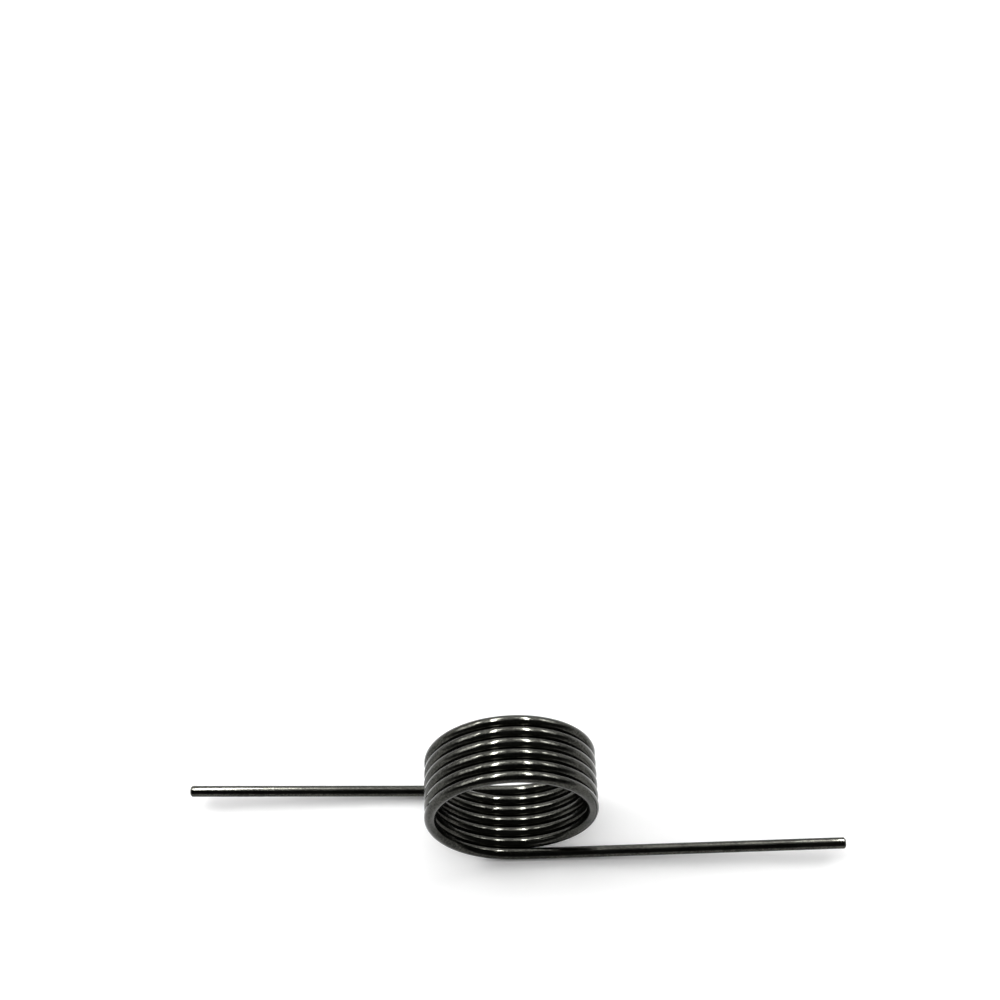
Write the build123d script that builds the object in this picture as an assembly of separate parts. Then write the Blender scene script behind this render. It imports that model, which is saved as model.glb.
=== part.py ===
"""Torsion spring: one length of round spring wire, close wound, with a straight leg at each end.

Frame: the coil's axis is the Y axis and the origin is the middle of the coil. +Z is up. The spring
lies on its coil: the rear leg (+Y end) runs out along -X and the front leg (-Y end) along +X. Both
leave at the bottom of the coil. Half a turn about Z maps the spring onto itself.
"""
import math
import os

from build123d import *

# Driving dimensions, in millimetres and degrees
wire_diameter = 1.4
outside_diameter = 20.7
whole_turns = 6
turn_gap = 0.02          # between neighbouring turns of the close-wound coil
free_angle = 175.5       # between the two legs, with nothing pressing on them
leg_length = 40.0        # from the corner where a leg's line leaves the coil, to its tip
run_out_turn = 8.0       # last part of the winding, over which the wire straightens
run_out_length = 6.0     # from that corner to where the leg is a true straight pin
tip_chamfer = 0.2        # edge of each sheared and tumbled wire end
steel_density = 7.85e-3  # grams per cubic millimetre

# Worked out from them
wire_radius = wire_diameter / 2
mean_radius = (outside_diameter - wire_diameter) / 2
pitch = wire_diameter + turn_gap
leg_rise = math.radians((180.0 - free_angle) / 2)
middle_angle = math.pi * whole_turns
straightening = math.radians(run_out_turn)
helix_end_angle = 2 * middle_angle + leg_rise - straightening


def coil_point(angle):
    """Point of the wire's centre line, with the angle counted from the rear turn's lowest point."""
    advance = pitch * (middle_angle - angle) / (2 * math.pi)
    return Vector(mean_radius * math.sin(angle), advance, -mean_radius * math.cos(angle))


def coil_direction(angle):
    """Direction of the wire at that angle. It runs towards -Y, to the right at the bottom."""
    advance = -pitch / (2 * math.pi * mean_radius)
    return Vector(math.cos(angle), advance, math.sin(angle)).normalized()


def half_turn(point):
    """The matching point at the spring's other end."""
    return Vector(-point.X, -point.Y, point.Z)


def run_out_points():
    """Control points of the front run-out: curved like the coil at first, and straight at its end.

    A cubic Bezier curve starts with a curvature of 2/3 of its third point's offset over the square
    of its first span. The offset makes that the coil's own curvature.
    """
    start = coil_point(helix_end_angle)
    lead = mean_radius * straightening
    corner = start + coil_direction(helix_end_angle) * lead
    leg_direction = coil_direction(helix_end_angle + straightening)
    offset = 3 / 2 * lead**2 / mean_radius
    first_reach = offset / math.sin(straightening)
    return [
        start,
        corner,
        corner + leg_direction * first_reach,
        corner + leg_direction * run_out_length,
    ]


def helix_edges():
    """The close-wound turns' centre line, in quarter turns from the rear run-out to the front one."""
    first_angle = 2 * middle_angle - helix_end_angle
    quarter_turns = 4 * whole_turns
    step = (helix_end_angle - first_angle) / quarter_turns
    height = pitch * step / (2 * math.pi)
    edges = []
    for number in range(quarter_turns):
        start = coil_point(first_angle + number * step)
        frame = Plane(origin=(0, start.Y, 0), x_dir=(start.X, 0, start.Z), z_dir=(0, -1, 0))
        edges.append(frame.location * Edge.make_helix(pitch, height, mean_radius))
    return edges


def make_coil():
    """The turns and both run-outs, swept along the wire's centre line."""
    front = run_out_points()
    rear = [half_turn(point) for point in reversed(front)]
    centre_line = Wire([Edge.make_bezier(*rear), *helix_edges(), Edge.make_bezier(*front)])
    section = Plane(origin=rear[0], z_dir=rear[1] - rear[0]) * Circle(wire_radius)
    return sweep(section, path=centre_line)


def make_leg(root, direction):
    """Straight leg from the end of its run-out, with a chamfered tip."""
    length = leg_length - run_out_length
    leg = Cylinder(wire_radius, length, align=(Align.CENTER, Align.CENTER, Align.MIN))
    tip_edge = leg.edges().filter_by(GeomType.CIRCLE).sort_by(Axis.Z)[-1]
    leg = chamfer(tip_edge, tip_chamfer)
    return Plane(origin=root, z_dir=direction) * leg


def make_spring():
    """The whole wire as one solid."""
    front = run_out_points()
    direction = front[-1] - front[-2]
    front_leg = make_leg(front[-1], direction)
    rear_leg = make_leg(half_turn(front[-1]), half_turn(direction))
    return make_coil() + [front_leg, rear_leg]


os.makedirs("parts", exist_ok=True)
spring = make_spring()
spring.label = "torsion_spring"
export_step(spring, "parts/torsion_spring.step")

coil_length = whole_turns * pitch + wire_diameter
print(f"coil {outside_diameter:.2f} outside, {outside_diameter - 2 * wire_diameter:.2f} inside")
print(f"coil length {coil_length:.2f}, pitch {pitch:.3f}, mass {spring.volume * steel_density:.2f} g")
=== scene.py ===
"""Looks of the torsion spring: the wire as a fine mesh, its finish, the floor, light and camera.

The frame is the CAD model's: the coil's axis is the Y axis, the origin the middle of the coil.
Sizes are in millimetres and angles in degrees, until a mesh, lamp or camera is placed in metres.
"""
import math

import bpy
from mathutils import Euler, Matrix, Quaternion, Vector


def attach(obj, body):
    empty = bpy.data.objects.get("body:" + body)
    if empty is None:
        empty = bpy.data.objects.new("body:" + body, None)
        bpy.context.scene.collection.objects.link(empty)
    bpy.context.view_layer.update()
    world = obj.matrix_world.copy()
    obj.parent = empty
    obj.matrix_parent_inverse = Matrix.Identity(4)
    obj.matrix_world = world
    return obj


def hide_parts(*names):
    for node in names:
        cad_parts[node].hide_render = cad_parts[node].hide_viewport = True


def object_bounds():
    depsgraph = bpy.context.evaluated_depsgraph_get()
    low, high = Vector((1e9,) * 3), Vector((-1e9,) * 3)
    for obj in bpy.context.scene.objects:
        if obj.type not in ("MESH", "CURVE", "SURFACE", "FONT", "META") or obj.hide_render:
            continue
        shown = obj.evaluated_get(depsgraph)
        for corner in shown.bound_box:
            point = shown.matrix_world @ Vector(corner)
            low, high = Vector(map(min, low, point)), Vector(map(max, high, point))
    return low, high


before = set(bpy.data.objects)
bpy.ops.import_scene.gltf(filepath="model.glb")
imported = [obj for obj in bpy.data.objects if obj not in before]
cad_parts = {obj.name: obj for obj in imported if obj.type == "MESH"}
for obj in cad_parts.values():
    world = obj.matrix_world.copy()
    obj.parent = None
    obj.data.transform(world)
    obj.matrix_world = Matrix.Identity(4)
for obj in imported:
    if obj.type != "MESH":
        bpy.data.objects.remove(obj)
cad_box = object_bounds()

MM = 0.001

# The wire
wire_diameter = 1.4
outside_diameter = 20.7
whole_turns = 6
turn_gap = 0.02
free_angle = 175.5
leg_length = 40.0
run_out_turn = 8.0
run_out_length = 6.0
tip_chamfer = 0.2
edge_rounding = 0.06     # at both edges of the chamfer

wire_radius = wire_diameter / 2
mean_radius = (outside_diameter - wire_diameter) / 2
pitch = wire_diameter + turn_gap
leg_rise = math.radians((180.0 - free_angle) / 2)
middle_angle = math.pi * whole_turns
straightening = math.radians(run_out_turn)
helix_end_angle = 2 * middle_angle + leg_rise - straightening

# Mesh density
ring_sides = 56
steps_per_turn = 120
run_out_steps = 24
leg_steps = 40
rounding_steps = 4

# Camera
camera_place = Vector((1.63, -83.69, 168.68))
camera_pitch = 53.12     # below the horizon
camera_turn = -0.76      # to the right of +Y
camera_roll = -3.0       # anticlockwise, seen from behind the camera
camera_lens = 55.8
camera_sensor = 36.0
camera_clip = (0.01, 10.0)   # metres

# Floor
floor_radius = 2000.0
floor_sides = 96
floor_drop = 0.005       # under the wire's lowest point
floor_colour = 0.72
background_gain = 1.5    # of floor and room, in what the camera, gloss and glass see

# Finish. Noises are given in lumps to a millimetre, across and along the wire.
die_line_lumps = (9.0, 0.05)
mottle_lumps = (0.9, 0.22)
grain_lumps = (4.5, 3.5)
dark_tone, dark_oxide = 0.41, (0.018, 0.018, 0.0158, 1)
pale_tone, pale_oxide = 0.59, (0.053, 0.053, 0.0465, 1)
line_range = (0.45, 1.05)
roughness_range = (0.11, 0.18)
bump_strength = 0.1
bump_distance = 0.00002      # metres

# Room. Heights and depths are those of a unit direction.
room_axis = (-0.15, 0.989, 0.0)  # towards the bright side
room_edge = (-0.2, 0.55)     # depths at which the dark side ends and the full bright side starts
room_levels = (0.05, 1.6)    # dark side, bright side
low_heights = (0.1, 0.5)
low_shares = (0.65, 1.0)     # of the level, at those heights
horizon_heights = (0.0, 0.2)
horizon_levels = (0.5, 0.05)

# Lamps
gleam_distance = 280.0
softbox_distance = 400.0
overhead_distance = 350.0
tube_brightness = 105.0      # far above a plain level, and seen only in gloss


def helix_point(angle):
    """Point of the wire's centre line, with the angle counted from the rear turn's lowest point."""
    advance = pitch * (middle_angle - angle) / (2 * math.pi)
    return Vector((mean_radius * math.sin(angle), advance, -mean_radius * math.cos(angle)))


def helix_direction(angle):
    """Direction of the wire at that angle."""
    advance = -pitch / (2 * math.pi * mean_radius)
    return Vector((math.cos(angle), advance, math.sin(angle))).normalized()


def bezier(points, share):
    """Point of the Bezier curve with these control points."""
    while len(points) > 1:
        points = [a.lerp(b, share) for a, b in zip(points, points[1:])]
    return points[0]


def half_turn(point):
    """The matching point at the spring's other end."""
    return Vector((-point.x, -point.y, point.z))


def front_end():
    """Centre line from just past the helix to the start of the front tip's chamfer."""
    start = helix_point(helix_end_angle)
    lead = mean_radius * straightening
    corner = start + helix_direction(helix_end_angle) * lead
    direction = helix_direction(helix_end_angle + straightening)
    # With this offset the curve starts with the helix's curvature.
    offset = 3 / 2 * lead**2 / mean_radius
    reach = corner + direction * (offset / math.sin(straightening))
    root = corner + direction * run_out_length
    curve = [start, corner, reach, root]
    straight = leg_length - run_out_length - tip_chamfer - edge_rounding
    run_out = [bezier(curve, step / run_out_steps) for step in range(1, run_out_steps + 1)]
    leg = [root + direction * straight * step / leg_steps for step in range(1, leg_steps + 1)]
    return run_out + leg


def centre_line():
    """Centre line from the rear tip to the front tip."""
    front = front_end()
    rear = [half_turn(point) for point in reversed(front)]
    first_angle = 2 * middle_angle - helix_end_angle
    span = helix_end_angle - first_angle
    steps = round(steps_per_turn * span / (2 * math.pi))
    helix = [helix_point(first_angle + span * step / steps) for step in range(steps + 1)]
    return rear + helix + front


def tip_profile():
    """The chamfered tip: pairs of the distance past the centre line's end and the radius there."""
    slant = edge_rounding * math.sqrt(0.5)
    outer = Vector((edge_rounding, wire_radius))
    inner = Vector((edge_rounding + tip_chamfer, wire_radius - tip_chamfer))
    outer_curve = [outer - Vector((edge_rounding, 0)), outer, outer + Vector((slant, -slant))]
    inner_curve = [inner - Vector((slant, -slant)), inner, inner - Vector((0, edge_rounding))]
    shares = [step / rounding_steps for step in range(rounding_steps + 1)]
    return [bezier(curve, share) for curve in (outer_curve, inner_curve) for share in shares]


def wire_rings():
    """Rings along the wire: place, direction, upward normal, distance along it, and radius."""
    points = centre_line()
    last = len(points) - 1
    normal = Vector((0, 0, 1))
    along = 0.0
    rings = []
    for number, point in enumerate(points):
        direction = (points[min(number + 1, last)] - points[max(number - 1, 0)]).normalized()
        normal = (normal - direction * normal.dot(direction)).normalized()
        if number:
            along += (point - points[number - 1]).length
        rings.append((point, direction, normal, along, wire_radius))
    tips = []
    for ring, sign in ((rings[0], -1), (rings[-1], 1)):
        point, direction, normal, along, _ = ring
        tips.append([
            (point + direction * sign * past, direction, normal, along + sign * past, radius)
            for past, radius in tip_profile()[1:]
        ])
    return list(reversed(tips[0])) + rings + tips[1]


def make_wire():
    """The whole wire as one closed mesh.

    The attribute wire_place is each point's place on the wire pulled straight.
    """
    vertices = []
    places = []
    rings = wire_rings()
    for point, direction, normal, along, radius in rings:
        side = direction.cross(normal)
        for number in range(ring_sides):
            angle = 2 * math.pi * number / ring_sides
            x, y = radius * math.cos(angle), radius * math.sin(angle)
            vertices.append((point + normal * x + side * y) * MM)
            places.append(Vector((x, y, along)))
    faces = []
    for row in range(len(rings) - 1):
        for number in range(ring_sides):
            a = row * ring_sides + number
            b = row * ring_sides + (number + 1) % ring_sides
            faces.append((a, b, b + ring_sides, a + ring_sides))
    last_row = (len(rings) - 1) * ring_sides
    for ring, first, flip in ((rings[0], 0, True), (rings[-1], last_row, False)):
        centre = len(vertices)
        vertices.append(ring[0] * MM)
        places.append(Vector((0, 0, ring[3])))
        for number in range(ring_sides):
            a, b = first + number, first + (number + 1) % ring_sides
            faces.append((b, a, centre) if flip else (a, b, centre))
    mesh = bpy.data.meshes.new("spring_wire")
    mesh.from_pydata(vertices, [], faces)
    place = mesh.attributes.new("wire_place", "FLOAT_VECTOR", "POINT")
    place.data.foreach_set("vector", [value for vector in places for value in vector])
    mesh.polygons.foreach_set("use_smooth", [True] * len(faces))
    mesh.update()
    wire = bpy.data.objects.new("spring_wire", mesh)
    bpy.context.scene.collection.objects.link(wire)
    return wire


class Nodes:
    """Short calls that add a node, set its inputs and link it."""

    def __init__(self, tree):
        self.tree = tree
        tree.nodes.clear()

    def add(self, kind, inputs=(), **settings):
        node = self.tree.nodes.new(kind)
        for name, value in settings.items():
            setattr(node, name, value)
        for name, value in dict(inputs).items():
            if isinstance(value, bpy.types.NodeSocket):
                self.tree.links.new(value, node.inputs[name])
            else:
                node.inputs[name].default_value = value
        return node

    def math(self, operation, a, b=0.0):
        return self.add("ShaderNodeMath", {0: a, 1: b}, operation=operation).outputs[0]

    def noise(self, place, lumps, detail, roughness=0.5):
        """Noise with that many lumps to a millimetre across and along the wire."""
        across, along = lumps
        scaled = self.add(
            "ShaderNodeVectorMath",
            {0: place, 1: (across, across, along)},
            operation="MULTIPLY",
        ).outputs[0]
        inputs = {"Vector": scaled, "Scale": 1.0, "Detail": detail, "Roughness": roughness}
        return self.add("ShaderNodeTexNoise", inputs).outputs["Fac"]

    def ramp(self, factor, source, target, **settings):
        """The factor, moved from the source range to the target range."""
        inputs = {
            "Value": factor,
            "From Min": source[0],
            "From Max": source[1],
            "To Min": target[0],
            "To Max": target[1],
        }
        return self.add("ShaderNodeMapRange", inputs, **settings).outputs[0]

    def blend(self, a, share_a, b, share_b):
        return self.math(
            "ADD", self.math("MULTIPLY", a, share_a), self.math("MULTIPLY", b, share_b)
        )


def wire_material():
    """Oil-tempered spring steel: black oxide over fine lines from the drawing die."""
    material = bpy.data.materials.new("oil_tempered_steel")
    material.use_nodes = True
    nodes = Nodes(material.node_tree)
    place = nodes.add("ShaderNodeAttribute", attribute_name="wire_place").outputs["Vector"]
    die_lines = nodes.noise(place, die_line_lumps, detail=4.0, roughness=0.6)
    mottle = nodes.noise(place, mottle_lumps, detail=4.0)
    grain = nodes.noise(place, grain_lumps, detail=2.0)
    colour = nodes.add("ShaderNodeValToRGB", {"Fac": nodes.blend(mottle, 0.4, grain, 0.6)})
    dark, pale = colour.color_ramp.elements
    dark.position, dark.color = dark_tone, dark_oxide
    pale.position, pale.color = pale_tone, pale_oxide
    lines = nodes.math("ADD", die_lines, nodes.math("MULTIPLY", grain, 0.5))
    rough = nodes.ramp(lines, line_range, roughness_range)
    bump = nodes.add("ShaderNodeBump", {
        "Height": nodes.blend(die_lines, 0.6, grain, 0.4),
        "Strength": bump_strength,
        "Distance": bump_distance,
    })
    shader = nodes.add("ShaderNodeBsdfPrincipled", {
        "Base Color": colour.outputs["Color"],
        "Roughness": rough,
        "Normal": bump.outputs["Normal"],
        "Metallic": 1.0,
    })
    nodes.add("ShaderNodeOutputMaterial", {"Surface": shader.outputs["BSDF"]})
    return material


def background_level(nodes, level):
    """That level, raised by the background's gain where the camera, gloss or glass sees it."""
    path = nodes.add("ShaderNodeLightPath").outputs
    seen = nodes.math("MAXIMUM", path["Is Camera Ray"], path["Is Glossy Ray"])
    seen = nodes.math("MAXIMUM", seen, path["Is Transmission Ray"])
    return nodes.math("MULTIPLY", level, nodes.ramp(seen, (0.0, 1.0), (1.0, background_gain)))


def floor_material():
    """Plain matt white."""
    material = bpy.data.materials.new("white_floor")
    material.use_nodes = True
    nodes = Nodes(material.node_tree)
    level = background_level(nodes, floor_colour)
    colour = nodes.add("ShaderNodeCombineColor", {0: level, 1: level, 2: level}).outputs[0]
    shader = nodes.add("ShaderNodeBsdfDiffuse", {"Color": colour})
    nodes.add("ShaderNodeOutputMaterial", {"Surface": shader.outputs["BSDF"]})
    return material


def make_floor():
    """A flat round floor under the spring's lowest point."""
    base = cad_box[0].z - floor_drop * MM
    radius = floor_radius * MM
    vertices = []
    for number in range(floor_sides):
        angle = 2 * math.pi * number / floor_sides
        vertices.append((radius * math.cos(angle), radius * math.sin(angle), base))
    mesh = bpy.data.meshes.new("floor")
    mesh.from_pydata(vertices, [], [list(range(floor_sides))])
    mesh.materials.append(floor_material())
    floor = bpy.data.objects.new("floor", mesh)
    bpy.context.scene.collection.objects.link(floor)


def make_lamp(name, direction, distance, width, length, brightness):
    """A rectangular lamp in that direction, facing the origin, with its length along the Y axis.

    Width and length are shares of the distance. Brightness is that of a white card in full light.
    """
    outward = Vector(direction).normalized()
    across = Vector((0, 1, 0)).cross(outward).normalized()
    size = distance * MM
    light = bpy.data.lights.new(name, "AREA")
    light.shape = "RECTANGLE"
    light.size = width * size
    light.size_y = length * size
    light.energy = brightness * math.pi * width * length * size**2
    lamp = bpy.data.objects.new(name, light)
    lamp.location = outward * size
    lamp.rotation_euler = Matrix((across, outward.cross(across), outward)).transposed().to_euler()
    lamp.visible_camera = False
    bpy.context.scene.collection.objects.link(lamp)
    return lamp


def make_world():
    """A room that is white behind the spring and dark on the near side, with a pale horizon."""
    world = bpy.data.worlds.new("room")
    bpy.context.scene.world = world
    world.use_nodes = True
    nodes = Nodes(world.node_tree)
    direction = nodes.add("ShaderNodeTexCoord").outputs["Generated"]
    inputs = {0: direction, 1: room_axis}
    depth = nodes.add("ShaderNodeVectorMath", inputs, operation="DOT_PRODUCT").outputs["Value"]
    height = nodes.add("ShaderNodeSeparateXYZ", {"Vector": direction}).outputs["Z"]
    behind = nodes.ramp(depth, room_edge, room_levels, interpolation_type="SMOOTHSTEP")
    behind = nodes.math("MULTIPLY", behind, nodes.ramp(height, low_heights, low_shares))
    horizon = nodes.ramp(height, horizon_heights, horizon_levels)
    level = background_level(nodes, nodes.math("MAXIMUM", behind, horizon))
    back = nodes.add("ShaderNodeBackground", {"Color": (1, 1, 1, 1), "Strength": level})
    nodes.add("ShaderNodeOutputWorld", {"Surface": back.outputs[0]})


def make_lights():
    """Highlight lamps that light no matt surface, two soft boxes, and a lamp gloss doesn't show."""
    make_world()
    gleams = [
        make_lamp("tube_left", (-0.29, 0.33, 0.90), gleam_distance, 0.08, 0.7, tube_brightness),
        make_lamp("tube_right", (0.365, 0.40, 0.84), gleam_distance, 0.08, 0.7, tube_brightness),
        make_lamp("leg_left", (-0.19, 0.6, 0.77), gleam_distance, 0.17, 0.3, 17.0),
        make_lamp("leg_right", (0.21, 0.6, 0.77), gleam_distance, 0.15, 0.3, 4.5),
        make_lamp("spot_left", (-0.59, 0.35, 0.72), gleam_distance, 0.09, 0.35, 41.0),
        make_lamp("spot_right", (0.66, 0.44, 0.60), gleam_distance, 0.08, 0.35, 20.0),
    ]
    for lamp in gleams:
        lamp.visible_diffuse = False
    make_lamp("softbox_left", (-0.80, 0.16, 0.62), softbox_distance, 0.45, 0.6, 5.7)
    make_lamp("softbox_right", (0.74, 0.34, 0.56), softbox_distance, 0.32, 0.5, 4.5)
    overhead = make_lamp("overhead", (0.0, -0.35, 0.95), overhead_distance, 0.9, 0.9, 1.25)
    overhead.visible_glossy = False


def make_camera():
    """The photograph's viewing angle."""
    data = bpy.data.cameras.new("camera")
    data.lens = camera_lens
    data.sensor_width = camera_sensor
    data.clip_start, data.clip_end = camera_clip
    camera = bpy.data.objects.new("camera", data)
    camera.location = camera_place * MM
    aim = Euler((math.radians(90 - camera_pitch), 0, math.radians(-camera_turn))).to_quaternion()
    roll = Quaternion((0, 0, 1), math.radians(camera_roll))
    camera.rotation_euler = (aim @ roll).to_euler()
    bpy.context.scene.collection.objects.link(camera)
    bpy.context.scene.camera = camera


wire = make_wire()
wire.data.materials.append(wire_material())
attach(wire, "root")
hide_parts("torsion_spring")
make_floor()
make_lights()
make_camera()
bpy.context.scene.view_settings.view_transform = "Standard"
